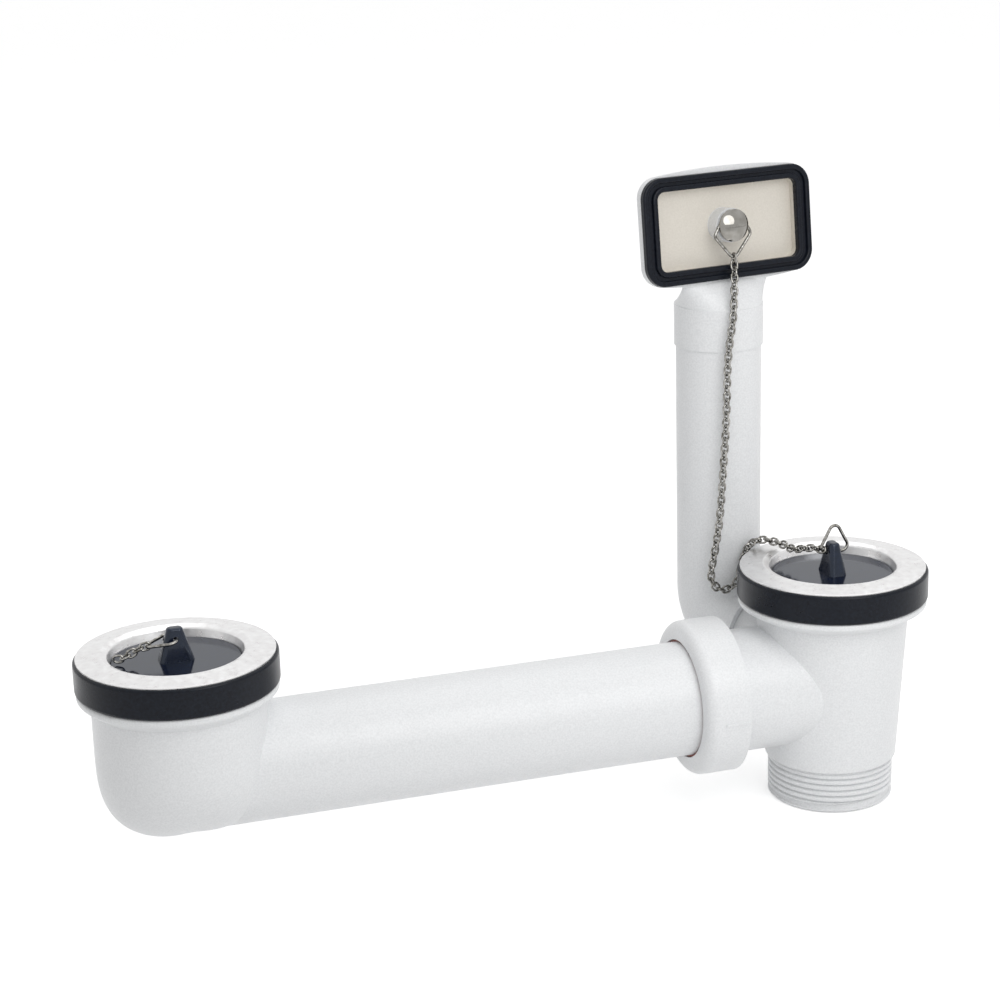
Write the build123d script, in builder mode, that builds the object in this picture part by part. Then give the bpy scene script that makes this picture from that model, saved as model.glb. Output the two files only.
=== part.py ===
"""Double sink waste and overflow kit: two bowl wastes, the pipe that joins them and an overflow."""
import os
from math import atan2, ceil, cos, radians, sin

from build123d import *

os.makedirs("parts", exist_ok=True)

# Layout, from the right bowl's waste at the sink seat plane
centre_distance = 251.0
pipe_drop = 44.6
outlet_drop = 91.3
spigot_drop = 37.5
spigot_angle = 65.6
riser_reach = 58.8
riser_top = 94.0
head_rise = 31.2
head_turn = 9.0
head_lean = 6.0
head_forward = 8.5

# Steel flange and its strainer floor
flange_od = 70.0
flange_sheet = 0.8
flange_crown = 1.8
crown_width = 2.2
crown_drop = 0.9
flange_bend = 1.0
plug_hole_d = 48.0
floor_d = 43.6
floor_depth = 8.2
strainer_hole_d = 8.0
strainer_ring_d = 27.0
strainer_holes = 6

# Rubber gasket between the sink and the waste body
gasket_od = 72.0
gasket_clear = 0.4
gasket_height = 11.0
gasket_round = 1.0

# Plug and its lug
plug_recess = 2.2
plug_lift = 0.8
plug_wall = 3.0
plug_skin = 2.4
plug_edge = 0.6
lug_height = 12.0
lug_base_length = 12.5
lug_base_width = 7.0
lug_tip_length = 5.5
lug_tip_width = 4.0
lug_corner = 1.8
lug_round = 1.2
lug_hole_height = 8.2

# Flange screw, brass insert and the hub that holds it
screw_d = 6.0
screw_head_d = 10.0
screw_head_height = 2.2
screw_edge = 0.6
screw_slot_width = 1.4
screw_slot_depth = 1.2
screw_overrun = 2.0
insert_d = 10.0
insert_length = 8.0
hub_d = 16.0
hub_gap = 4.0
hub_height = 11.0
rib_width = 2.6
rib_arms = 2

# White moulded waste bodies
body_wall = 2.5
lip_d = 71.2
lip_thickness = 2.4
lip_slope = 3.6
lip_round = 1.2
right_cup_top_d = 58.4
right_cup_low_d = 50.2
outlet_thread_d = 47.8
outlet_thread_length = 17.0
outlet_wall = 3.5
outlet_chamfer = 1.0
left_cup_d = 61.8
left_cup_round = 21.0
trough_margin = 1.0

# Joining pipe, branch socket and compression joint
pipe_od = 43.0
pipe_wall = 2.6
branch_wall = 4.2
branch_reach = 56.5
socket_wall = 4.25
socket_thread_length = 10.5
socket_depth = 14.0
pipe_end_gap = 1.0
mouth_bevel_width = 2.25
mouth_bevel_depth = 2.6
nut_wall = 3.0
nut_length = 16.5
nut_lip = 3.0
nut_round = 4.0
seam_length = 10.0
seam_width = 0.9
seam_height = 0.45
seam_angle = 88.0
seal_lip_thickness = 0.6
seal_lip_length = 2.3
seal_rim = 2.5
seal_taper = 2.5

# Overflow spigot, elbow and riser
riser_od = 33.0
riser_wall = 2.1
elbow_socket = 2.8
elbow_inner_round = 0.5
spigot_in = 4.0
spigot_wall = 3.1
groove_in = 0.9
groove_depth = 1.2
groove_width = 2.1
bell_step = 0.8
bell_wall = 2.0
bell_depth = 14.0
bell_root = 2.0

# Overflow head, its rubber frame and screw
frame_end_overhang = 0.2
frame_side_overhang = 0.6
frame_end_band = 6.2
frame_side_band = 5.4
frame_corner = 8.0
frame_inner_corner = 3.0
frame_thickness = 2.5
frame_ridge = 2.1
frame_groove = 1.2
frame_round = 0.7
tray_length = 72.9
tray_width = 39.6
tray_bulge = 2.6
tray_depth = 5.0
tray_wall = 2.0
tray_corner = 8.0
tray_back_round = 2.5
tray_end_wall = 5.65
tray_side_wall = 4.35
cavity_corner = 4.0
neck_wall = 2.4
neck_gap = 1.5
collar_inset = 0.3
funnel_top_length = 38.0
funnel_top_width = 4.6
funnel_forward = 5.8
funnel_overlap = 1.6
funnel_end_wall = 3.0
funnel_side_wall = 1.3
throat_overrun = 2.8
boss_d = 13.0
boss_forward = 0.8
bush_d = 8.4
bush_length = 6.6
hook_screw_d = 4.0
hook_head_d = 12.4
hook_head_height = 2.8
hook_head_gap = 1.6

# Wire shackles and chain
shackle_wire = 1.2
shackle_base = 13.6
shackle_height = 12.6
shackle_round = 2.2
shackle_slide = 0.7
stirrup_top = 8.0
stirrup_shoulder = 16.4
stirrup_drop = 6.2
stirrup_height = 15.8
left_shackle_dip = 11.0
link_wire = 0.8
link_pitch = 2.6
link_width = 3.5
link_slack = 0.3
link_corner = 0.8
chain_gap = 2.85

# Clearances
fit = 0.1
thread_fit = 0.3
slide_fit = 0.25
wire_fit = 0.3

# Values worked out from the sizes
gasket_base = -gasket_height
gasket_bore = plug_hole_d + 2 * (flange_sheet + gasket_clear)
flange_r = flange_od / 2
plug_hole_r = plug_hole_d / 2
floor_r = floor_d / 2
seat_top = flange_crown - crown_drop
seat_slope = (plug_hole_r - floor_r) / (seat_top + floor_depth)
plug_top = -plug_recess
plug_base = plug_lift - floor_depth
pipe_r = pipe_od / 2
riser_r = riser_od / 2
elbow_radius = riser_r + elbow_inner_round
riser_bore = riser_od - 2 * riser_wall
elbow_mouth = riser_reach - elbow_radius - elbow_socket
spigot_r = riser_bore / 2 - thread_fit
spigot_reach = elbow_mouth + spigot_in
groove_start = elbow_mouth + groove_in
bell_bore = riser_bore + 2 * bell_step
bell_od = bell_bore + 2 * bell_wall
hub_top = -floor_depth - flange_sheet - hub_gap
hub_base = hub_top - hub_height
screw_top = screw_head_height - floor_depth
screw_tip = hub_base - screw_overrun
lug_hole_z = plug_top + lug_hole_height
lug_hole_r = shackle_wire / 2 + wire_fit
sides = {"left": -centre_distance, "right": 0.0}

# Directions and planes of the overflow
spigot_dir = Vector(-cos(radians(spigot_angle)), sin(radians(spigot_angle)), 0)
turn_x = Vector(cos(radians(head_turn)), sin(radians(head_turn)), 0)
turn_out = Vector(sin(radians(head_turn)), -cos(radians(head_turn)), 0)
riser_foot = spigot_dir * riser_reach
head_normal = turn_out * cos(radians(head_lean)) + Vector(0, 0, sin(radians(head_lean)))
head_centre = riser_foot + turn_out * head_forward + Vector(0, 0, riser_top + head_rise)
head_face = Plane(origin=head_centre, x_dir=turn_x, z_dir=head_normal)


def section(origin, across, along):
    """Plane for a turned profile: x is the radius, y runs along the axis."""
    return Plane(origin=origin, x_dir=across, z_dir=Vector(across).cross(Vector(along)))


def turn(plane, points, mode=Mode.ADD):
    """Revolve a closed profile about the plane's y axis, into the part in progress."""
    with BuildSketch(plane) as profile:
        with BuildLine():
            Polyline(*points, close=True)
        make_face()
    revolve(profile.sketch, axis=Axis(plane.origin, plane.y_dir), mode=mode)


def finish(part, name):
    """Label a finished piece and write it."""
    part.label = name
    export_step(part, f"parts/{name}.step")


def waste_section(x):
    return section((x, 0, 0), (1, 0, 0), (0, 0, 1))


def seat_radius(z):
    """Radius of the conical plug seat at a height."""
    return floor_r + (z + floor_depth) * seat_slope


def hub(x, cup_top_d):
    """Hub on crossed ribs in a cup, with its screw hole and insert pocket."""
    reach = cup_top_d - body_wall
    with BuildSketch(Plane((x, 0, hub_top))) as ribs:
        with PolarLocations(0, rib_arms, angular_range=180):
            Rectangle(reach, rib_width)
        Circle(hub_d / 2)
    extrude(ribs.sketch, amount=-hub_height)
    with BuildSketch(Plane((x, 0, hub_top))) as screw_hole:
        Circle(screw_d / 2 + slide_fit)
    extrude(screw_hole.sketch, amount=-hub_height, mode=Mode.SUBTRACT)
    with BuildSketch(Plane((x, 0, hub_base))) as pocket:
        Circle(insert_d / 2)
    extrude(pocket.sketch, amount=insert_length, mode=Mode.SUBTRACT)


branch_section = section((0, 0, -pipe_drop), (0, 0, 1), (-1, 0, 0))
spigot_section = section((0, 0, -spigot_drop), (0, 0, 1), spigot_dir)
head_section = section(head_face.origin, head_face.x_dir, head_face.z_dir)

# Gaskets, flanges, flange screws, inserts and plugs, the same for both bowls
for side, x in sides.items():
    profile_plane = waste_section(x)

    with BuildPart() as gasket:
        turn(profile_plane, [
            (gasket_bore / 2, 0), (gasket_od / 2, 0),
            (gasket_od / 2, gasket_base), (gasket_bore / 2, gasket_base),
        ])
        fillet(gasket.edges().filter_by(GeomType.CIRCLE), gasket_round)
    finish(gasket.part, f"{side}_gasket")

    with BuildPart() as flange:
        with BuildSketch(profile_plane):
            with BuildLine():
                FilletPolyline(
                    (flange_r, flange_sheet),
                    (plug_hole_r + crown_width, flange_crown),
                    (plug_hole_r, seat_top),
                    (floor_r, -floor_depth),
                    (screw_d / 2 + slide_fit, -floor_depth),
                    radius=flange_bend,
                )
                offset(amount=flange_sheet, side=Side.LEFT)
            make_face()
        revolve(axis=Axis((x, 0, 0), (0, 0, 1)))
        with BuildSketch(Plane((x, 0, -floor_depth))):
            with PolarLocations(strainer_ring_d / 2, strainer_holes):
                Circle(strainer_hole_d / 2)
        extrude(amount=flange_sheet, both=True, mode=Mode.SUBTRACT)
    finish(flange.part, f"{side}_flange")

    with BuildPart() as flange_screw:
        turn(profile_plane, [
            (0, screw_top), (screw_head_d / 2 - screw_edge, screw_top),
            (screw_head_d / 2, screw_top - screw_edge), (screw_head_d / 2, -floor_depth),
            (screw_d / 2, -floor_depth), (screw_d / 2, screw_tip), (0, screw_tip),
        ])
        with BuildSketch(Plane((x, 0, screw_top))):
            Rectangle(screw_head_d, screw_slot_width)
        extrude(amount=-screw_slot_depth, mode=Mode.SUBTRACT)
    finish(flange_screw.part, f"{side}_flange_screw")

    with BuildPart() as insert:
        turn(profile_plane, [
            (screw_d / 2, hub_base), (insert_d / 2, hub_base),
            (insert_d / 2, hub_base + insert_length), (screw_d / 2, hub_base + insert_length),
        ])
    finish(insert.part, f"{side}_insert")

    lug_x = (1, 0, 0) if side == "left" else (0, 1, 0)
    lug_through = (0, 1, 0) if side == "left" else (1, 0, 0)
    with BuildPart() as plug:
        turn(profile_plane, [
            (0, plug_top), (seat_radius(plug_top) - fit - plug_edge, plug_top),
            (seat_radius(plug_top - plug_edge) - fit, plug_top - plug_edge),
            (seat_radius(plug_base + plug_edge) - fit, plug_base + plug_edge),
            (seat_radius(plug_base) - fit - plug_edge, plug_base),
            (seat_radius(plug_base) - plug_wall, plug_base),
            (seat_radius(plug_base) - plug_wall, plug_top - plug_skin), (0, plug_top - plug_skin),
        ])
        with BuildSketch(Plane((x, 0, plug_top), x_dir=lug_x, z_dir=(0, 0, 1))):
            RectangleRounded(lug_base_length, lug_base_width, lug_corner)
        with BuildSketch(Plane((x, 0, plug_top + lug_height), x_dir=lug_x, z_dir=(0, 0, 1))):
            RectangleRounded(lug_tip_length, lug_tip_width, lug_corner)
        loft()
        fillet(plug.faces().sort_by(Axis.Z)[-1].edges(), lug_round)
        with BuildSketch(Plane((x, 0, lug_hole_z), z_dir=lug_through)):
            Circle(lug_hole_r)
        extrude(amount=lug_base_length, both=True, mode=Mode.SUBTRACT)
    finish(plug.part, f"{side}_plug")

# Left waste body: cup, rounded foot and the long pipe in one moulding
left_x = sides["left"]
left_plane = waste_section(left_x)
lip_foot = gasket_base - lip_thickness - lip_slope
cup_bottom = -pipe_drop - pipe_r
pipe_length = centre_distance - (branch_reach - socket_depth + pipe_end_gap)


def rounded_cup(radius, corner, bottom):
    """Left cup with a rounded foot, its underside as round across as a trough along the pipe."""
    with BuildSketch(left_plane) as profile:
        with BuildLine():
            wall = Polyline((0, gasket_base), (radius, gasket_base), (radius, bottom + corner))
            foot = RadiusArc(wall @ 1, (radius - corner, bottom), corner)
            Polyline(foot @ 1, (0, bottom), (0, gasket_base))
        make_face()
    revolve(profile.sketch, axis=Axis(left_plane.origin, left_plane.y_dir))
    trough_r = radius + trough_margin
    with BuildSketch(section((left_x, 0, 0), (0, 1, 0), (0, 0, 1))) as trough:
        with Locations((0, bottom + trough_r)):
            Circle(trough_r)
            Rectangle(2 * trough_r, -bottom - trough_r, align=(Align.CENTER, Align.MIN))
    extrude(trough.sketch, amount=trough_r, both=True, mode=Mode.INTERSECT)


def lip_ring(plane, cup_top_d):
    """Flat lip under the gasket, sloping down into the cup."""
    turn(plane, [
        (0, gasket_base), (lip_d / 2, gasket_base), (lip_d / 2, gasket_base - lip_thickness),
        (cup_top_d / 2, lip_foot), (0, lip_foot),
    ])


with BuildPart() as left_hollow:
    rounded_cup(left_cup_d / 2 - body_wall, left_cup_round - body_wall, cup_bottom + body_wall)

with BuildPart() as left_body:
    rounded_cup(left_cup_d / 2, left_cup_round, cup_bottom)
    lip_ring(left_plane, left_cup_d)
    fillet(left_body.edges().filter_by(GeomType.CIRCLE).group_by(SortBy.RADIUS)[-1], lip_round)
    with BuildSketch(Plane((left_x, 0, -pipe_drop), z_dir=(1, 0, 0))):
        Circle(pipe_r)
    extrude(amount=pipe_length)
    add(left_hollow.part, mode=Mode.SUBTRACT)
    with BuildSketch(Plane((left_x, 0, -pipe_drop), z_dir=(1, 0, 0))):
        Circle(pipe_r - pipe_wall)
    extrude(amount=pipe_length, mode=Mode.SUBTRACT)
    hub(left_x, left_cup_d)
finish(left_body.part, "left_waste_body")

# Right waste body: cup, branch socket, overflow spigot and threaded outlet in one moulding
right_plane = waste_section(0)
cup_foot = -outlet_drop + outlet_thread_length
outlet_r = outlet_thread_d / 2
branch_bore = pipe_od - 2 * pipe_wall + 2 * fit
branch_r = branch_bore / 2 + branch_wall
branch_step = branch_reach - socket_thread_length
socket_floor = branch_reach - socket_depth
socket_r = pipe_r + slide_fit
socket_thread_r = socket_r + socket_wall
mouth_start = branch_reach - mouth_bevel_depth
mouth_r = socket_r + mouth_bevel_width

with BuildPart() as right_body:
    turn(right_plane, [
        (0, gasket_base), (right_cup_top_d / 2, gasket_base), (right_cup_low_d / 2, cup_foot),
        (outlet_r, cup_foot), (outlet_r, -outlet_drop + outlet_chamfer),
        (outlet_r - outlet_chamfer, -outlet_drop), (0, -outlet_drop),
    ])
    lip_ring(right_plane, right_cup_top_d)
    fillet(right_body.edges().filter_by(GeomType.CIRCLE).group_by(SortBy.RADIUS)[-1], lip_round)
    turn(branch_section, [
        (0, 0), (branch_r, 0), (branch_r, branch_step), (socket_thread_r, branch_step),
        (socket_thread_r, branch_reach), (0, branch_reach),
    ])
    turn(spigot_section, [(0, 0), (spigot_r, 0), (spigot_r, spigot_reach), (0, spigot_reach)])
    turn(right_plane, [
        (0, gasket_base), (right_cup_top_d / 2 - body_wall, gasket_base),
        (right_cup_low_d / 2 - body_wall, cup_foot + body_wall),
        (outlet_r - outlet_wall, cup_foot + body_wall), (outlet_r - outlet_wall, -outlet_drop),
        (0, -outlet_drop),
    ], Mode.SUBTRACT)
    turn(branch_section, [
        (0, 0), (branch_bore / 2, 0), (branch_bore / 2, socket_floor), (socket_r, socket_floor),
        (socket_r, mouth_start), (mouth_r, branch_reach), (0, branch_reach),
    ], Mode.SUBTRACT)
    turn(spigot_section, [
        (0, 0), (spigot_r - spigot_wall, 0), (spigot_r - spigot_wall, spigot_reach), (0, spigot_reach),
    ], Mode.SUBTRACT)
    turn(spigot_section, [
        (spigot_r - groove_depth, groove_start), (spigot_r + fit, groove_start),
        (spigot_r + fit, groove_start + groove_width),
        (spigot_r - groove_depth, groove_start + groove_width),
    ], Mode.SUBTRACT)
    hub(0, right_cup_top_d)
finish(right_body.part, "right_waste_body")

# Compression nut with a seam line on each side
nut_inside = branch_reach + seal_rim
nut_reach = nut_inside + nut_lip
nut_end = nut_reach - nut_length
nut_bore = pipe_r + seal_lip_thickness + slide_fit + fit
nut_thread_r = socket_thread_r + thread_fit
nut_r = nut_thread_r + nut_wall

with BuildPart() as nut:
    turn(branch_section, [
        (nut_bore, nut_reach), (nut_r, nut_reach), (nut_r, nut_end),
        (nut_thread_r, nut_end), (nut_thread_r, nut_inside), (nut_bore, nut_inside),
    ])
    face_edges = nut.edges().filter_by(GeomType.CIRCLE).group_by(Axis.X)[0]
    fillet(face_edges.sort_by(SortBy.RADIUS)[-1], nut_round)
    for seam_side in (seam_angle, seam_angle + 180):
        seam_out = Vector(0, -sin(radians(seam_side)), -cos(radians(seam_side)))
        seam_base = Vector(-nut_end - seam_length / 2, 0, -pipe_drop) + seam_out * (nut_r - seam_height)
        with BuildSketch(Plane(origin=seam_base, x_dir=(1, 0, 0), z_dir=seam_out)):
            Rectangle(seam_length, seam_width)
        extrude(amount=2 * seam_height)
finish(nut.part, "compression_nut")

# Taper seal squeezed between the nut and the socket mouth
seal_r = pipe_r + fit
with BuildPart() as seal:
    turn(branch_section, [
        (seal_r, nut_inside + seal_lip_length), (seal_r + seal_lip_thickness, nut_inside + seal_lip_length),
        (seal_r + seal_lip_thickness, nut_inside), (socket_thread_r, nut_inside),
        (socket_thread_r, branch_reach + fit), (mouth_r - fit, branch_reach + fit),
        (mouth_r - fit - seal_taper * mouth_bevel_width / mouth_bevel_depth, branch_reach + fit - seal_taper),
        (seal_r, branch_reach + fit - seal_taper),
    ])
finish(seal.part, "compression_seal")

# Overflow riser: tight elbow, pipe and bell end in one moulding
elbow_plane = section((0, 0, -spigot_drop), spigot_dir, (0, 0, 1))
riser_run = riser_top + spigot_drop - elbow_radius
with BuildPart() as riser:
    with BuildLine(elbow_plane) as riser_path:
        mouth = Line((elbow_mouth, 0), (riser_reach - elbow_radius, 0))
        bend = RadiusArc(mouth @ 1, (riser_reach, elbow_radius), -elbow_radius)
        Line((riser_reach, elbow_radius), (riser_reach, elbow_radius + riser_run))
    with BuildSketch(Plane(origin=riser_path.line @ 0, z_dir=spigot_dir)):
        Circle(riser_r)
        Circle(riser_bore / 2, mode=Mode.SUBTRACT)
    sweep()
    with BuildSketch(Plane(riser_foot + Vector(0, 0, riser_top))):
        Circle(bell_od / 2)
        Circle(riser_bore / 2, mode=Mode.SUBTRACT)
    extrude(amount=-bell_depth - bell_root)
    with BuildSketch(Plane(riser_foot + Vector(0, 0, riser_top))):
        Circle(bell_bore / 2)
    extrude(amount=-bell_depth, mode=Mode.SUBTRACT)
finish(riser.part, "overflow_riser")

with BuildPart() as spigot_seal:
    turn(spigot_section, [
        (spigot_r - groove_depth + fit, groove_start + fit),
        (riser_bore / 2 - fit, groove_start + fit),
        (riser_bore / 2 - fit, groove_start + groove_width - fit),
        (spigot_r - groove_depth + fit, groove_start + groove_width - fit),
    ])
finish(spigot_seal.part, "spigot_seal")

# Overflow head: shallow tray with bulged long sides, funnel neck and screw boss
tray_front = head_face.offset(-frame_thickness)
cavity_depth = tray_depth - tray_wall
cavity_length = tray_length - 2 * tray_end_wall
cavity_width = tray_width - 2 * tray_side_wall
neck_r = bell_bore / 2 - fit
neck_length = bell_depth - neck_gap
funnel_height = head_rise - tray_width / 2 - tray_bulge + funnel_overlap
throat_length = funnel_top_length - 2 * funnel_end_wall
throat_width = funnel_top_width - 2 * funnel_side_wall
throat_rise = head_rise - funnel_height - cavity_width / 2 + throat_overrun
collar_plane = Plane(riser_foot + Vector(0, 0, riser_top), x_dir=turn_x, z_dir=(0, 0, 1))
throat_centre = riser_foot + turn_out * funnel_forward + Vector(0, 0, riser_top + funnel_height)
throat_plane = Plane(throat_centre, x_dir=turn_x, z_dir=(0, 0, 1))
half_l = tray_length / 2
half_w = tray_width / 2

with BuildPart() as head:
    with BuildSketch(tray_front) as tray_outline:
        with BuildLine():
            ThreePointArc((-half_l, half_w), (0, half_w + tray_bulge), (half_l, half_w))
            Line((half_l, half_w), (half_l, -half_w))
            ThreePointArc((half_l, -half_w), (0, -half_w - tray_bulge), (-half_l, -half_w))
            Line((-half_l, -half_w), (-half_l, half_w))
        make_face()
        fillet(tray_outline.vertices(), tray_corner)
    extrude(amount=-tray_depth)
    back = head.faces().sort_by(Axis(head_face.origin, head_face.z_dir))[0]
    fillet(back.edges(), tray_back_round)
    with BuildSketch(collar_plane):
        Circle(bell_od / 2 - collar_inset)
    with BuildSketch(throat_plane):
        Ellipse(funnel_top_length / 2, funnel_top_width / 2)
    loft()
    with BuildSketch(collar_plane):
        Circle(neck_r)
    extrude(amount=-neck_length)
    with BuildSketch(tray_front):
        RectangleRounded(cavity_length, cavity_width, cavity_corner)
    extrude(amount=-cavity_depth, mode=Mode.SUBTRACT)
    with BuildSketch(collar_plane):
        Circle(neck_r - neck_wall)
    extrude(amount=-neck_length, mode=Mode.SUBTRACT)
    with BuildSketch(collar_plane):
        Circle(neck_r - neck_wall)
    with BuildSketch(throat_plane):
        Ellipse(throat_length / 2, throat_width / 2)
    loft(mode=Mode.SUBTRACT)
    with BuildSketch(throat_plane):
        Ellipse(throat_length / 2, throat_width / 2)
    extrude(amount=throat_rise, mode=Mode.SUBTRACT)
    with BuildSketch(head_face.offset(boss_forward)):
        Circle(boss_d / 2)
    extrude(amount=-boss_forward - frame_thickness - cavity_depth)
    with BuildSketch(head_face.offset(boss_forward)):
        Circle(bush_d / 2)
    extrude(amount=-bush_length, mode=Mode.SUBTRACT)
finish(head.part, "overflow_head")

# Rubber frame with an outer and an inner ridge
frame_length = tray_length + 2 * frame_end_overhang
frame_width = tray_width + 2 * frame_side_overhang
opening_length = frame_length - 2 * frame_end_band
opening_width = frame_width - 2 * frame_side_band
with BuildPart() as frame:
    with BuildSketch(head_face):
        RectangleRounded(frame_length, frame_width, frame_corner)
        RectangleRounded(opening_length, opening_width, frame_inner_corner, mode=Mode.SUBTRACT)
    extrude(amount=-frame_thickness)
    with BuildSketch(head_face):
        RectangleRounded(
            frame_length - 2 * frame_ridge, frame_width - 2 * frame_ridge, frame_corner - frame_ridge,
        )
        RectangleRounded(
            opening_length + 2 * frame_ridge, opening_width + 2 * frame_ridge,
            frame_inner_corner + frame_ridge, mode=Mode.SUBTRACT,
        )
    extrude(amount=-frame_groove, mode=Mode.SUBTRACT)
    ridges = frame.faces().group_by(Axis(head_face.origin, head_face.z_dir))[-1]
    fillet(ridges.edges(), frame_round)
finish(frame.part, "overflow_gasket")

# Brass bush in the boss and the domed screw that carries the chain
with BuildPart() as bush:
    turn(head_section, [
        (hook_screw_d / 2, boss_forward), (bush_d / 2, boss_forward),
        (bush_d / 2, boss_forward - bush_length), (hook_screw_d / 2, boss_forward - bush_length),
    ])
finish(bush.part, "overflow_insert")

hook_seat = boss_forward + hook_head_gap
hook_tip = boss_forward - bush_length + slide_fit
dome_rise = hook_head_height - screw_edge
dome_radius = ((hook_head_d / 2) ** 2 + dome_rise**2) / (2 * dome_rise)
with BuildPart() as hook_screw:
    with BuildSketch(head_section):
        with BuildLine():
            shank = Polyline(
                (0, hook_seat + hook_head_height), (0, hook_tip),
                (hook_screw_d / 2, hook_tip), (hook_screw_d / 2, hook_seat),
                (hook_head_d / 2, hook_seat), (hook_head_d / 2, hook_seat + screw_edge),
            )
            RadiusArc(shank @ 1, shank @ 0, -dome_radius)
        make_face()
    revolve(axis=Axis(head_section.origin, head_section.y_dir))
    with BuildSketch(head_face.offset(hook_seat + hook_head_height)):
        Rectangle(hook_head_d, screw_slot_width)
    extrude(amount=-screw_slot_depth, mode=Mode.SUBTRACT)
finish(hook_screw.part, "overflow_screw")


def wire_loop(plane, corners):
    """Sweep round wire along a closed loop of straight sides and rounded corners."""
    with BuildLine(plane) as loop:
        FilletPolyline(*corners, radius=shackle_round, close=True)
    with BuildSketch(Plane(origin=loop.line @ 0, z_dir=loop.line % 0)) as wire:
        Circle(shackle_wire / 2)
    sweep(wire.sketch, path=loop.line)


# Wire triangles in the plug lugs and the stirrup on the overflow screw
triangle = [(-shackle_base / 2, 0), (shackle_base / 2, 0), (0, shackle_height)]
right_loop = section((shackle_slide, 0, lug_hole_z), (1, 0, 0), (0, 0, 1))
left_fall = Vector(-cos(radians(left_shackle_dip)), 0, -sin(radians(left_shackle_dip)))
left_loop = section((left_x, 0, lug_hole_z), (0, 1, 0), left_fall)
stirrup_plane = head_face.offset(boss_forward + hook_head_gap / 2)
stirrup_bar = hook_screw_d / 2 + shackle_wire / 2 + fit

with BuildPart() as right_shackle:
    wire_loop(right_loop, triangle)
finish(right_shackle.part, "right_shackle")

with BuildPart() as left_shackle:
    wire_loop(left_loop, triangle)
finish(left_shackle.part, "left_shackle")

with BuildPart() as stirrup:
    wire_loop(stirrup_plane, [
        (-stirrup_top / 2, stirrup_bar), (stirrup_top / 2, stirrup_bar),
        (stirrup_shoulder / 2, stirrup_bar - stirrup_drop), (0, stirrup_bar - stirrup_height),
        (-stirrup_shoulder / 2, stirrup_bar - stirrup_drop),
    ])
finish(stirrup.part, "overflow_shackle")


def bend_inset(half_angle):
    """How far the rounded wire stays inside a sharp corner of its loop."""
    return shackle_round * (1 / sin(half_angle) - 1)


# Chain of oval links, each turned a quarter against the last
link_inner = link_pitch + link_slack
link_length = link_inner + 2 * link_wire
link_inner_corner = link_corner - link_wire * (2 - 2**0.5)
hook_start = link_inner / 2 - link_slack - shackle_wire / 2

with BuildPart() as link:
    with BuildSketch() as link_outline:
        Rectangle(link_length, link_width)
        chamfer(link_outline.vertices(), link_corner)
    extrude(amount=link_wire / 2, both=True)
    with BuildSketch() as link_hole:
        Rectangle(link_inner, link_width - 2 * link_wire)
        chamfer(link_hole.vertices(), link_inner_corner)
    extrude(amount=link_wire, both=True, mode=Mode.SUBTRACT)


def link_places(route, first_across, count, spacing):
    """Places of the links along a route, hooked on at its start and without twist."""
    across = Vector(first_across)
    places = []
    for index in range(count):
        distance = hook_start + index * spacing
        spot = route.position_at(distance, position_mode=PositionMode.LENGTH)
        along = route.tangent_at(distance, position_mode=PositionMode.LENGTH)
        across = (across - along * across.dot(along)).normalized()
        normal = across if index % 2 else along.cross(across)
        places.append(Location(Plane(origin=spot, x_dir=along, z_dir=normal)))
    return places


foot_half_angle = atan2(shackle_height, shackle_base / 2) / 2
tip_half_angle = atan2(shackle_base / 2, shackle_height)
stirrup_half_angle = atan2(stirrup_shoulder / 2, stirrup_height - stirrup_drop)
foot_inset = bend_inset(foot_half_angle)
right_hook = right_loop.from_local_coords(
    (foot_inset * cos(foot_half_angle) - shackle_base / 2, foot_inset * sin(foot_half_angle), 0)
)
left_hook = left_loop.from_local_coords((0, shackle_height - bend_inset(tip_half_angle), 0))
stirrup_hook = stirrup_plane.from_local_coords(
    (0, stirrup_bar - stirrup_height + bend_inset(stirrup_half_angle), 0)
)

# The long chain hangs in front of the riser, loops under the gasket and comes back over the flange
hang_line = riser_foot - Vector(0, bell_od / 2 + chain_gap, 0)
hang_steps = [
    (0.9, 6.3, 106), (-1.2, 1.8, 97), (-2.4, 0.1, 91), (-3.6, 0, 83), (-5.1, 0, 52), (-6.4, 0, 32),
    (-8.0, 0, 12), (-9.9, 0, 0), (-11.1, 0, -6), (-11.4, 0, -10.2), (-9.5, 0.1, -14.5), (-5.1, 0.4, -16.3),
    (-0.7, 1.0, -14.4), (1.3, 1.4, -10.0),
]
rim_steps = [
    (-21.7, 34.2, -3.6), (-19.7, 31.4, 2.2), (-16.6, 28.2, 4.2), (-13.5, 23.5, 4.4), (-11.6, 18.0, 4.4),
    (-10.6, 12.0, 4.6), (-8.3, 6.8, 6.2),
]
with BuildLine():
    hanging = [hang_line + Vector(step) for step in hang_steps]
    right_route = Spline(stirrup_hook, *hanging, *rim_steps, right_hook)
right_run = right_route.length - 2 * hook_start
right_gaps = 2 * ceil(right_run / (2 * link_pitch))
with BuildPart() as right_chain:
    with Locations(*link_places(right_route, head_normal, right_gaps + 1, right_run / right_gaps)):
        add(link.part)
finish(right_chain.part, "right_chain")

# The short chain droops from its shackle onto the left plug
left_steps = [(0, 0, 0), (-4.2, 0.2, -1.4), (-7.8, 0.8, -3.3), (-11.2, 2.4, -4.1)]
with BuildLine():
    left_route = Spline(*[left_hook + Vector(step) for step in left_steps])
left_links = int((left_route.length - hook_start) / link_pitch) + 1
with BuildPart() as left_chain:
    with Locations(*link_places(left_route, (0, 0, 1), left_links, link_pitch)):
        add(link.part)
finish(left_chain.part, "left_chain")
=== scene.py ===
"""Looks of the double sink waste and overflow kit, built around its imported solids."""
from math import cos, pi, radians, sin

import bmesh
import bpy
import numpy as np
from mathutils import Matrix, Vector


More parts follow.
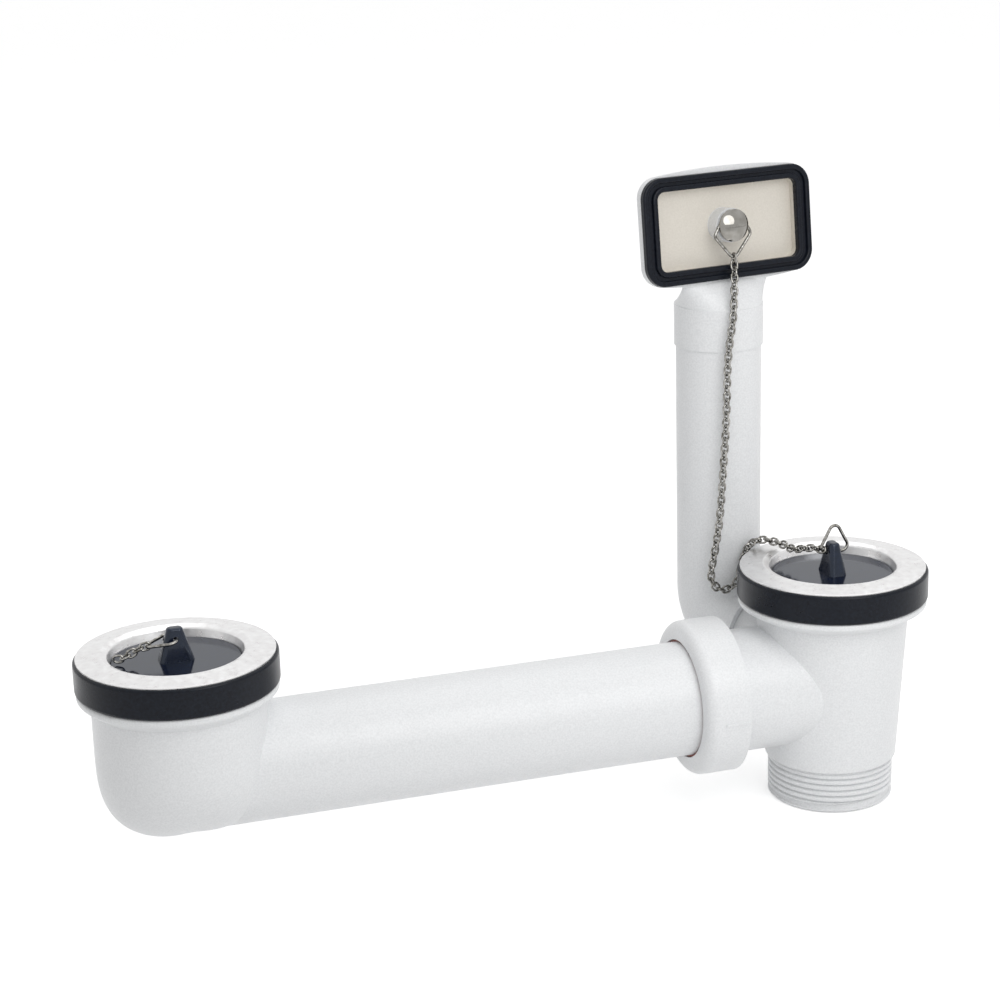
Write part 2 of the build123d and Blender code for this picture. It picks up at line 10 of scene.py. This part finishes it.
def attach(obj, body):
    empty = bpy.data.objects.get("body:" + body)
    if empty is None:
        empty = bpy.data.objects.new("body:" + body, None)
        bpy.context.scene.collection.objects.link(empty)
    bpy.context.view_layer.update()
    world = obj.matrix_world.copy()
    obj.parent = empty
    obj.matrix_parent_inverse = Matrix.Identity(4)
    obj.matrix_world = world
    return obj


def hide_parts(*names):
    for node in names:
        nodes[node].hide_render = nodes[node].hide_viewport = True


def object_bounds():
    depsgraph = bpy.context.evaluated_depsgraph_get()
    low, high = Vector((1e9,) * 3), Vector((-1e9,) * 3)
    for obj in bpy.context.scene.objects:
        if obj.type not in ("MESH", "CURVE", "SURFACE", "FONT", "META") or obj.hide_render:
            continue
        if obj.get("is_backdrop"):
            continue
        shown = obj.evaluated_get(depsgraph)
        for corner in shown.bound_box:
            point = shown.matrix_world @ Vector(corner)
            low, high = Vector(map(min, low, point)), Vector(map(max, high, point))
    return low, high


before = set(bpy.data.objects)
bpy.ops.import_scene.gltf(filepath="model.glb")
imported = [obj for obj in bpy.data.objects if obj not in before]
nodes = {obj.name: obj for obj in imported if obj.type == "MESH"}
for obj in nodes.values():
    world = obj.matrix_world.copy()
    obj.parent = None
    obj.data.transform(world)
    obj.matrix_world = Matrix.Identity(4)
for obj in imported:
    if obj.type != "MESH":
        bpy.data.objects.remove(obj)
cad_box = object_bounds()
scene = bpy.context.scene
scene.view_settings.view_transform = "Standard"
MM = 0.001

# Camera of the photograph, in millimetres and degrees
AIM = (-131.0, 0.0, 41.84)
AZIMUTH = -17.0
ELEVATION = 16.952
DISTANCE = 842.1
ROLL = -1.679
FOCAL_PER_WIDTH = 2.34878
SENSOR_WIDTH = 36.0

# Bowl axes, outlet thread and overflow head, in millimetres and degrees
LEFT_AXIS = (-251.0, 0.0, 0.0)
RIGHT_AXIS = (0.0, 0.0, 0.0)
OUTLET_RADIUS = 23.9
OUTLET_TOP = -74.3
OUTLET_END = -90.3
THREAD_PITCH = 2.31
THREAD_DEPTH = 1.4
THREAD_TOP_GAP = 0.7
THREAD_END_BAND = 2.6
THREAD_BAND_DEPTH = 0.8 * THREAD_DEPTH
RIDGE_STEEPNESS = 3.4
HEAD_CENTRE = (-22.961, 45.153, 125.2)
HEAD_TURN = 9.0
HEAD_LEAN = 6.0
# Reach of the painted shade in the overflow's hollow, and the boss that it leaves white
CAVITY_HALF = (30.85, 15.5)
CAVITY_DEPTHS = (-5.7, -2.45)
BOSS_RADIUS = 6.6

# Left cup and the pipe that leaves it, in millimetres; the powers make the shown foot rounder across the pipe.
# A face lies on the solid's skin when it is this near to it and its normal follows the skin's.
CUP_RADIUS = 30.9
CUP_WALL_TOP = -17.0
CUP_BOTTOM = -66.1
SOLID_CORNER = 21.0
FOOT_POWER_ALONG = 2.9
FOOT_POWER_ACROSS = 1.85
TROUGH_RADIUS = 31.9
SKIN_REACH = 0.15
SKIN_ALIGNMENT = 0.93
SKIN_MARGIN = 0.1
LEAST_RADIUS = 0.001
PIPE_RADIUS = 21.5
PIPE_Z = -44.6
PIPE_BITE = 1.2
HOLLOW_RADIUS = 28.6
FOOT_WALL = 1.2
SLEEVE_REACH = (2.0, 30.0)
SLEEVE_RADIUS = PIPE_RADIUS - 0.03
SLEEVE_OVERLAP = 0.3

# Round wire of the chain links
LINK_HALF_LENGTH = 1.85
LINK_HALF_WIDTH = 1.35
LINK_WIRE_RADIUS = 0.42

# Light, in metres and watts: each lamp's place, aim, size and power
WORLD_LIGHT = 0.55
BACKDROP = 1.0
FLOOR_SIZE = 14.0
FLOOR_DROP = 0.0002
FLOOR_GLOW = 0.48
FLOOR_ROUGHNESS = 0.9
LAMPS = {
    "overhead": ((0.2, 0.3, 1.4), (-0.13, 0, 0.02), 1.5, 5.2),
    "front": ((0.0, -0.36, 0.3), (0.0, 0, 0.03), 0.4, 0.95),
}


# Camera

def add_camera():
    azimuth, elevation, roll = radians(AZIMUTH), radians(ELEVATION), radians(ROLL)
    back = Vector((sin(azimuth) * cos(elevation), -cos(azimuth) * cos(elevation), sin(elevation)))
    right = (-back).cross(Vector((0, 0, 1))).normalized()
    up = back.cross(right)
    right, up = right * cos(roll) + up * sin(roll), up * cos(roll) - right * sin(roll)
    camera = bpy.data.objects.new("camera", bpy.data.cameras.new("camera"))
    scene.collection.objects.link(camera)
    place = Matrix((right, up, back)).transposed().to_4x4()
    place.translation = (Vector(AIM) + back * DISTANCE) * MM
    camera.matrix_world = place
    camera.data.sensor_width = SENSOR_WIDTH
    camera.data.lens = FOCAL_PER_WIDTH * SENSOR_WIDTH
    camera.data.clip_end = 2 * FLOOR_SIZE
    scene.camera = camera


# Material helpers; noise mostly lies between these two values

NOISE_LOW = 0.3
NOISE_HIGH = 0.7
BROAD_SHARE = 1 / 12
GRAIN_STRENGTH = 0.5


def node_material(name):
    """A material with its shader node and a function that adds and links nodes."""
    made = bpy.data.materials.new(name)
    made.use_nodes = True
    tree = made.node_tree
    shader = tree.nodes["Principled BSDF"]

    def add(kind, links=(), **values):
        node = tree.nodes.new(kind)
        for key, value in values.items():
            setattr(node, key, value)
        for socket, source in links:
            if hasattr(source, "is_output"):
                tree.links.new(source, node.inputs[socket])
            else:
                node.inputs[socket].default_value = source
        return node

    return made, tree, shader, add


def speckle(add, scale, detail=2.0):
    """Fine noise over the object's own coordinates; scale is in cells per metre."""
    coordinates = add("ShaderNodeTexCoord")
    return add("ShaderNodeTexNoise", [
        ("Vector", coordinates.outputs["Object"]), ("Scale", scale), ("Detail", detail),
    ]).outputs["Fac"]


def spread(add, source, low, high):
    """Value between two limits, following a noise value."""
    return add("ShaderNodeMapRange", [
        ("Value", source), ("From Min", NOISE_LOW), ("From Max", NOISE_HIGH), ("To Min", low), ("To Max", high),
    ]).outputs["Result"]


def tint(add, source, low, high):
    """Colour between two tones, following a noise value."""
    ramp = add("ShaderNodeValToRGB", [("Fac", source)])
    for stop, place, tone in zip(ramp.color_ramp.elements, (NOISE_LOW, NOISE_HIGH), (low, high)):
        stop.position = place
        stop.color = (*tone, 1)
    return ramp.outputs["Color"]


def grain(add, source, strength, depth):
    """Bump of a real depth in millimetres."""
    return add("ShaderNodeBump", [
        ("Height", source), ("Strength", strength), ("Distance", depth * MM),
    ]).outputs["Normal"]


def moulded(name, low, high, gloss, scale, depth, specular=0.5, reflection_tint=(1, 1, 1), colour=None):
    """Moulded plastic or rubber: two near tones, uneven gloss, a fine skin and a tint on its reflections."""
    made, tree, shader, add = node_material(name)
    fine = speckle(add, scale)
    broad = speckle(add, scale * BROAD_SHARE)
    base = colour(add, fine, low, high) if colour else tint(add, fine, low, high)
    tree.links.new(base, shader.inputs["Base Color"])
    tree.links.new(spread(add, broad, *gloss), shader.inputs["Roughness"])
    tree.links.new(grain(add, fine, GRAIN_STRENGTH, depth), shader.inputs["Normal"])
    shader.inputs["Specular IOR Level"].default_value = specular
    # A tint other than white is a painted colour on the reflections
    shader.inputs["Specular Tint"].default_value = (*reflection_tint, 1)
    return made


def metal(name, low, high, gloss, scale, depth):
    """The same skin on a metal."""
    made = moulded(name, low, high, gloss, scale, depth)
    made.node_tree.nodes["Principled BSDF"].inputs["Metallic"].default_value = 1.0
    return made


def brushed(name, axis):
    """Pressed steel with fine turned rings about a bowl's axis."""
    made, tree, shader, add = node_material(name)
    coordinates = add("ShaderNodeTexCoord")
    centred = add("ShaderNodeVectorMath", [
        (0, coordinates.outputs["Object"]), (1, tuple(v * MM for v in axis)),
    ], operation="SUBTRACT")
    flat = add("ShaderNodeVectorMath", [(0, centred.outputs[0]), (1, (1, 1, 0))], operation="MULTIPLY")
    radius = add("ShaderNodeVectorMath", [(0, flat.outputs[0])], operation="LENGTH")
    rings = add("ShaderNodeTexNoise", [("W", radius.outputs["Value"]), ("Scale", 4200.0)], noise_dimensions="1D")
    mottle = speckle(add, 420.0, 4.0)
    tree.links.new(tint(add, mottle, (0.72, 0.71, 0.71), (0.82, 0.82, 0.82)), shader.inputs["Base Color"])
    tree.links.new(spread(add, mottle, 0.26, 0.40), shader.inputs["Roughness"])
    tree.links.new(grain(add, rings.outputs["Fac"], 0.25, 0.02), shader.inputs["Normal"])
    shader.inputs["Metallic"].default_value = 1.0
    return made


def head_colour(add, fine, low, high):
    """White outside, with painted shade in the overflow's hollow: a darker, warmer tone on its walls and floor, off
    the boss.
    """
    coordinates = add("ShaderNodeTexCoord")
    local = add("ShaderNodeMapping", [
        ("Vector", coordinates.outputs["Object"]), ("Location", tuple(v * MM for v in HEAD_CENTRE)),
        ("Rotation", (radians(90 - HEAD_LEAN), 0, radians(HEAD_TURN))),
    ], vector_type="TEXTURE")
    part = add("ShaderNodeSeparateXYZ", [("Vector", local.outputs["Vector"])])
    inside = None
    for axis, half in zip("XY", CAVITY_HALF):
        size = add("ShaderNodeMath", [(0, part.outputs[axis])], operation="ABSOLUTE")
        near = add("ShaderNodeMath", [(0, size.outputs[0]), (1, half * MM)], operation="LESS_THAN").outputs[0]
        inside = add("ShaderNodeMath", [(0, inside), (1, near)], operation="MULTIPLY").outputs[0] if inside else near
    deep = add("ShaderNodeMath", [(0, part.outputs["Z"]), (1, CAVITY_DEPTHS[0] * MM)], operation="GREATER_THAN")
    front = add("ShaderNodeMath", [(0, part.outputs["Z"]), (1, CAVITY_DEPTHS[1] * MM)], operation="LESS_THAN")
    between = add("ShaderNodeMath", [(0, deep.outputs[0]), (1, front.outputs[0])], operation="MULTIPLY")
    hollow = add("ShaderNodeMath", [(0, inside), (1, between.outputs[0])], operation="MULTIPLY")
    flat = add("ShaderNodeVectorMath", [(0, local.outputs["Vector"]), (1, (1, 1, 0))], operation="MULTIPLY")
    reach = add("ShaderNodeVectorMath", [(0, flat.outputs[0])], operation="LENGTH")
    off_boss = add("ShaderNodeMath", [(0, reach.outputs["Value"]), (1, BOSS_RADIUS * MM)], operation="GREATER_THAN")
    shaded_hollow = add("ShaderNodeMath", [(0, hollow.outputs[0]), (1, off_boss.outputs[0])], operation="MULTIPLY")
    # The darker, warmer tone is painted shade in the hollow
    mixed = add("ShaderNodeMix", [
        (0, shaded_hollow.outputs[0]), (6, tint(add, fine, low, high)),
        (7, tint(add, fine, (0.69, 0.65, 0.58), (0.74, 0.70, 0.63))),
    ], data_type="RGBA")
    return mixed.outputs[2]


# Each finish: darker and lighter tone, range of roughness, noise cells per metre and depth of the skin in millimetres
WHITE = ((0.77, 0.78, 0.79), (0.86, 0.87, 0.88), (0.30, 0.42), 1500.0, 0.03)
materials = {
    "white": moulded("white_plastic", *WHITE),
    "head": moulded("white_plastic_head", *WHITE, colour=head_colour),
    "rubber": moulded(
        "black_rubber", (0.003, 0.004, 0.008), (0.007, 0.010, 0.017), (0.22, 0.36), 900.0, 0.06, specular=0.18
    ),
    # Plug: dark navy plastic. The bluish reflection tint is a painted reflection of a blue sky, and the blue of its
    # tones is partly its own navy and partly a painted bluish sheen
    "plug": moulded(
        "plug_black", (0.002, 0.004, 0.014), (0.005, 0.009, 0.026), (0.08, 0.16), 700.0, 0.01, reflection_tint=(0.78, 0.88, 1.0)
    ),
    "seal": moulded("seal_brown", (0.20, 0.05, 0.035), (0.28, 0.08, 0.06), (0.5, 0.65), 900.0, 0.05),
    # Chain chrome kept dark, with a wide mottle: these are painted dark reflections standing in for darker
    # surroundings
    "chrome": metal("chrome_wire", (0.12, 0.115, 0.10), (0.44, 0.43, 0.41), (0.08, 0.18), 800.0, 0.02),
    # Screw chrome kept dark: a painted dark reflection of darker surroundings
    "screw": metal("chrome_screw", (0.22, 0.21, 0.19), (0.34, 0.33, 0.31), (0.05, 0.10), 250.0, 0.01),
    "brass": metal("brass", (0.66, 0.46, 0.20), (0.78, 0.58, 0.30), (0.18, 0.32), 600.0, 0.02),
    "left_steel": brushed("flange_steel_left", LEFT_AXIS),
    "right_steel": brushed("flange_steel_right", RIGHT_AXIS),
}

node_finish = {
    "left_waste_body": "white", "right_waste_body": "white", "compression_nut": "white", "overflow_riser": "white",
    "overflow_head": "head", "left_gasket": "rubber", "right_gasket": "rubber", "overflow_gasket": "rubber",
    "spigot_seal": "rubber", "compression_seal": "seal", "left_plug": "plug", "right_plug": "plug",
    "left_flange": "left_steel", "right_flange": "right_steel", "left_insert": "brass", "right_insert": "brass",
    "overflow_insert": "brass", "overflow_screw": "screw",
}


def dress(obj, finish):
    obj.data.materials.clear()
    obj.data.materials.append(materials[finish])


def new_piece(name, mesh, finish, slot, *replaced):
    """A piece of the object that stands for CAD nodes."""
    obj = bpy.data.objects.new(name, mesh)
    scene.collection.objects.link(obj)
    dress(obj, finish)
    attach(obj, "root")
    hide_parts(*replaced)
    return obj


# Chains of round wire, one link in the place of each solid link

def solid_links(node):
    """Points of each separate link of a chain node."""
    shape = bmesh.new()
    shape.from_mesh(nodes[node].data)
    bmesh.ops.remove_doubles(shape, verts=shape.verts, dist=0.001 * MM)
    unseen = set(shape.verts)
    while unseen:
        stack = [unseen.pop()]
        island = []
        while stack:
            vert = stack.pop()
            island.append(tuple(vert.co))
            near = {edge.other_vert(vert) for edge in vert.link_edges} & unseen
            unseen -= near
            stack.extend(near)
        yield np.array(island)
    shape.free()


def wire_ring(segments=28, sides=10):
    """Points of one link in its own axes, along x and flat in z, as rings of round wire."""
    rings = []
    for index in range(segments):
        turn = 2 * pi * index / segments
        reach = (LINK_HALF_LENGTH - LINK_HALF_WIDTH) * np.sign(round(cos(turn), 6))
        middle = np.array([LINK_HALF_WIDTH * cos(turn) + reach, LINK_HALF_WIDTH * sin(turn), 0.0])
        outward = np.array([cos(turn), sin(turn), 0.0])
        for side in range(sides):
            lift = 2 * pi * side / sides
            rings.append(middle + LINK_WIRE_RADIUS * (cos(lift) * outward + sin(lift) * np.array([0, 0, 1.0])))
    faces = []
    for index in range(segments):
        for side in range(sides):
            here, there = index * sides, (index + 1) % segments * sides
            beside = (side + 1) % sides
            faces.append((here + side, there + side, there + beside, here + beside))
    return np.array(rings) * MM, faces


def add_chain(node):
    """A chain of round wire over a chain node, each link turned as the solid one is."""
    ring, ring_faces = wire_ring()
    points, faces = [], []
    for cloud in solid_links(node):
        middle = (cloud.min(axis=0) + cloud.max(axis=0)) / 2
        axes = np.linalg.eigh(np.cov((cloud - cloud.mean(axis=0)).T))[1]
        along, flat = axes[:, 2], axes[:, 0]
        turned = np.stack([along, np.cross(flat, along), flat])
        faces += [tuple(corner + len(points) * len(ring) for corner in face) for face in ring_faces]
        points.append(ring @ turned + middle)
    mesh = bpy.data.meshes.new(f"{node}_links")
    mesh.from_pydata(np.concatenate(points).tolist(), [], faces)
    mesh.shade_smooth()
    new_piece(f"{node}_links", mesh, "chrome", "chrome_wire", node)


# Right waste body with the outlet's thread cut in

def thread_radius(turn, height):
    """Radius of the threaded outlet at an angle and a height, in millimetres."""
    start, stop = OUTLET_TOP - THREAD_TOP_GAP, OUTLET_END + THREAD_END_BAND
    phase = (height / THREAD_PITCH + turn / (2 * pi)) % 1.0
    ridge = min(1.0, max(0.0, RIDGE_STEEPNESS * (0.5 - abs(phase - 0.5))))
    groove = THREAD_DEPTH * (1 - ridge * ridge * (3 - 2 * ridge))
    fade = min(1.0, max(0.0, (start - height) / (THREAD_PITCH / 2)))
    if height < stop:
        return OUTLET_RADIUS - THREAD_BAND_DEPTH
    return OUTLET_RADIUS - groove * fade


def threaded_outlet(shape, turns=192, steps=96):
    """Take the plain outlet wall out of a mesh and put a threaded wall in its place."""
    wall = []
    for face in shape.faces:
        on_wall = all(
            abs(vert.co.xy.length - OUTLET_RADIUS * MM) < 0.01 * MM
            and (OUTLET_END - 0.01) * MM < vert.co.z < (OUTLET_TOP + 0.01) * MM
            for vert in face.verts
        )
        if on_wall:
            wall.append(face)
    bmesh.ops.delete(shape, geom=wall, context="FACES")
    rows = []
    for step in range(steps + 1):
        height = OUTLET_TOP + (OUTLET_END - OUTLET_TOP) * step / steps
        row = []
        for index in range(turns):
            turn = 2 * pi * index / turns
            radius = OUTLET_RADIUS if step in (0, steps) else thread_radius(turn, height)
            row.append(shape.verts.new(Vector((radius * cos(turn), radius * sin(turn), height)) * MM))
        rows.append(row)
    for upper, lower in zip(rows, rows[1:]):
        for index in range(turns):
            after = (index + 1) % turns
            shape.faces.new((upper[index], lower[index], lower[after], upper[after])).smooth = True


def add_threaded_body():
    mesh = nodes["right_waste_body"].data.copy()
    shape = bmesh.new()
    shape.from_mesh(mesh)
    threaded_outlet(shape)
    shape.to_mesh(mesh)
    shape.free()
    new_piece("right_waste_body_threaded", mesh, "white", "white_plastic", "right_waste_body")


# Left waste body with a smooth foot in place of the solid's creased one

def outer_skin(centre, normal):
    """True for a face of the solid cup's outer wall or foot, from its middle in millimetres."""
    x, y, z = centre - Vector(LEFT_AXIS)
    radius = max(Vector((x, y)).length, LEAST_RADIUS)
    round_out = Vector((x / radius, y / radius, 0))
    corner_z = CUP_BOTTOM + SOLID_CORNER
    corner = round_out * (radius - CUP_RADIUS + SOLID_CORNER) + Vector((0, 0, z - corner_z))
    trough = Vector((0, y, z - CUP_BOTTOM - TROUGH_RADIUS))
    tests = [
        (z > corner_z - SKIN_MARGIN, radius - CUP_RADIUS, round_out),
        (z < corner_z + SKIN_MARGIN, corner.length - SOLID_CORNER, corner.normalized()),
        (trough.z < 0, trough.length - TROUGH_RADIUS, trough.normalized()),
    ]
    on_skin = any(
        reached and abs(gap) < SKIN_REACH and normal.dot(out) > SKIN_ALIGNMENT for reached, gap, out in tests
    )
    return on_skin and z < CUP_WALL_TOP


def foot_power(across):
    """Power of the foot's rounding in a direction, from the sine of its angle to the pipe."""
    return FOOT_POWER_ALONG + (FOOT_POWER_ACROSS - FOOT_POWER_ALONG) * across ** 2


def foot_profile(turn, wall_rows=18, foot_rows=72):
    """Radius and height of each row of the cup's skin in one direction, from the lip down to the foot."""
    foot_top = CUP_BOTTOM + CUP_RADIUS
    power = foot_power(sin(turn))
    for row in range(wall_rows):
        yield CUP_RADIUS, CUP_WALL_TOP + (foot_top - CUP_WALL_TOP) * row / wall_rows
    for row in range(foot_rows):
        lean = pi / 2 * row / foot_rows
        yield CUP_RADIUS * cos(lean) ** (2 / power), foot_top - CUP_RADIUS * sin(lean) ** (2 / power)


def gap_to_foot(x, y, z):
    """How far a point lies outside the shown cup; inside it is negative."""
    radius = max(Vector((x, y)).length, LEAST_RADIUS)
    below = max(0, CUP_BOTTOM + CUP_RADIUS - z)
    power = foot_power(y / radius)
    return (radius ** power + below ** power) ** (1 / power) - CUP_RADIUS


def gap_to_solid(x, y, z):
    """The same for the turned cup of the solid."""
    beyond = Vector((x, y)).length - CUP_RADIUS + SOLID_CORNER
    below = max(0, CUP_BOTTOM + SOLID_CORNER - z)
    return Vector((beyond, below)).length - SOLID_CORNER if beyond > 0 else below - SOLID_CORNER


def inside_pipe(vert):
    """True well inside the pipe, where the foot has no skin."""
    x, y, z = vert.co / MM - Vector(LEFT_AXIS)
    return x > 0 and Vector((y, z - PIPE_Z)).length < PIPE_RADIUS - PIPE_BITE


def sleeve_shows(vert):
    """True where the pipe's skin is needed between the shown foot and the solid's pipe."""
    place = vert.co / MM - Vector(LEFT_AXIS)
    return gap_to_foot(*place) > -PIPE_BITE and gap_to_solid(*place) < SLEEVE_OVERLAP


def draw_in_hollow(shape):
    """Keep the solid's hollow a wall's thickness under the shown foot."""
    middle = Vector((0, 0, CUP_BOTTOM + CUP_RADIUS))
    for vert in shape.verts:
        place = vert.co / MM - Vector(LEFT_AXIS)
        in_hollow = place.z < middle.z and place.xy.length < HOLLOW_RADIUS and gap_to_solid(*place) < -FOOT_WALL
        gap = gap_to_foot(*place)
        if in_hollow and gap > -FOOT_WALL:
            place = middle + (place - middle) * (CUP_RADIUS - FOOT_WALL) / (CUP_RADIUS + gap)
            vert.co = (place + Vector(LEFT_AXIS)) * MM


def add_rounded_body(turns=288, sleeve_rows=40):
    """The left body with the shown foot and the stretch of pipe that joins it to the solid's pipe."""
    mesh = nodes["left_waste_body"].data.copy()
    shape = bmesh.new()
    shape.from_mesh(mesh)
    skin = [face for face in shape.faces if outer_skin(face.calc_center_median() / MM, face.normal)]
    bmesh.ops.delete(shape, geom=skin, context="FACES")
    draw_in_hollow(shape)

    def corner_at(x, y, z):
        return shape.verts.new((Vector(LEFT_AXIS) + Vector((x, y, z))) * MM)

    columns = []
    for index in range(turns):
        turn = 2 * pi * index / turns
        columns.append([corner_at(r * cos(turn), r * sin(turn), z) for r, z in foot_profile(turn)])
    middle = corner_at(0, 0, CUP_BOTTOM)
    rings = []
    for row in range(sleeve_rows + 1):
        x = SLEEVE_REACH[0] + (SLEEVE_REACH[1] - SLEEVE_REACH[0]) * row / sleeve_rows
        around = [2 * pi * index / turns for index in range(turns)]
        rings.append([
            corner_at(x, SLEEVE_RADIUS * cos(turn), PIPE_Z + SLEEVE_RADIUS * sin(turn)) for turn in around
        ])
    for index in range(turns):
        here, after = columns[index], columns[(index + 1) % turns]
        cells = [(here[row], here[row + 1], after[row + 1], after[row]) for row in range(len(here) - 1)]
        cells.append((here[-1], middle, after[-1]))
        for cell in cells:
            if not all(inside_pipe(vert) for vert in cell):
                shape.faces.new(cell).smooth = True
        for near, far in zip(rings, rings[1:]):
            cell = (near[index], near[(index + 1) % turns], far[(index + 1) % turns], far[index])
            if any(sleeve_shows(vert) for vert in cell):
                shape.faces.new(cell).smooth = True
    loose = [vert for vert in shape.verts if not vert.link_faces]
    bmesh.ops.delete(shape, geom=loose, context="VERTS")
    shape.to_mesh(mesh)
    shape.free()
    new_piece("left_waste_body_rounded", mesh, "white", "white_plastic", "left_waste_body")


# Floor, backdrop and light

def seen_directly(tree):
    """1 for rays from the camera and for what shines or lets through, else 0."""
    path = tree.nodes.new("ShaderNodeLightPath")
    total = path.outputs["Is Camera Ray"]
    for name in ("Is Glossy Ray", "Is Transmission Ray"):
        larger = tree.nodes.new("ShaderNodeMath")
        larger.operation = "MAXIMUM"
        tree.links.new(total, larger.inputs[0])
        tree.links.new(path.outputs[name], larger.inputs[1])
        total = larger.outputs[0]
    return total


def add_world():
    world = bpy.data.worlds.new("studio")
    scene.world = world
    world.use_nodes = True
    tree = world.node_tree
    strength = tree.nodes.new("ShaderNodeMapRange")
    strength.inputs["To Min"].default_value = WORLD_LIGHT
    strength.inputs["To Max"].default_value = BACKDROP
    tree.links.new(seen_directly(tree), strength.inputs["Value"])
    background = tree.nodes["Background"]
    background.inputs["Color"].default_value = (1, 1, 1, 1)
    tree.links.new(strength.outputs["Result"], background.inputs["Strength"])


def add_floor():
    made, tree, shader, add = node_material("floor")
    tree.links.new(tint(add, speckle(add, 40.0), (0.86, 0.86, 0.86), (0.88, 0.88, 0.88)), shader.inputs["Base Color"])
    shader.inputs["Roughness"].default_value = FLOOR_ROUGHNESS
    shader.inputs["Emission Color"].default_value = (1, 1, 1, 1)
    glow = add("ShaderNodeMath", [(0, seen_directly(tree)), (1, FLOOR_GLOW)], operation="MULTIPLY")
    tree.links.new(glow.outputs[0], shader.inputs["Emission Strength"])
    half = FLOOR_SIZE / 2
    level = cad_box[0][2] - FLOOR_DROP
    mesh = bpy.data.meshes.new("floor")
    mesh.from_pydata(
        [(-half, -half, level), (half, -half, level), (half, half, level), (-half, half, level)], [], [(0, 1, 2, 3)]
    )
    floor = bpy.data.objects.new("floor", mesh)
    scene.collection.objects.link(floor)
    mesh.materials.append(made)
    floor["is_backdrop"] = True


def add_lamp(name, spot, aim, size, power):
    lamp = bpy.data.lights.new(name, "AREA")
    lamp.shape = "DISK"
    lamp.size = size
    lamp.energy = power
    obj = bpy.data.objects.new(name, lamp)
    scene.collection.objects.link(obj)
    spot, aim = Vector(spot), Vector(aim)
    obj.rotation_euler = (aim - spot).to_track_quat("-Z", "Y").to_euler()
    obj.location = spot


add_camera()
for name, obj in nodes.items():
    dress(obj, node_finish.get(name, "chrome"))
add_chain("right_chain")
add_chain("left_chain")
add_threaded_body()
add_rounded_body()
add_world()
add_floor()
for name, lamp in LAMPS.items():
    add_lamp(name, *lamp)

boxes = {"cad": cad_box, "visual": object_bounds()}
{name: [list(map(float, corner)) for corner in box] for name, box in boxes.items()}
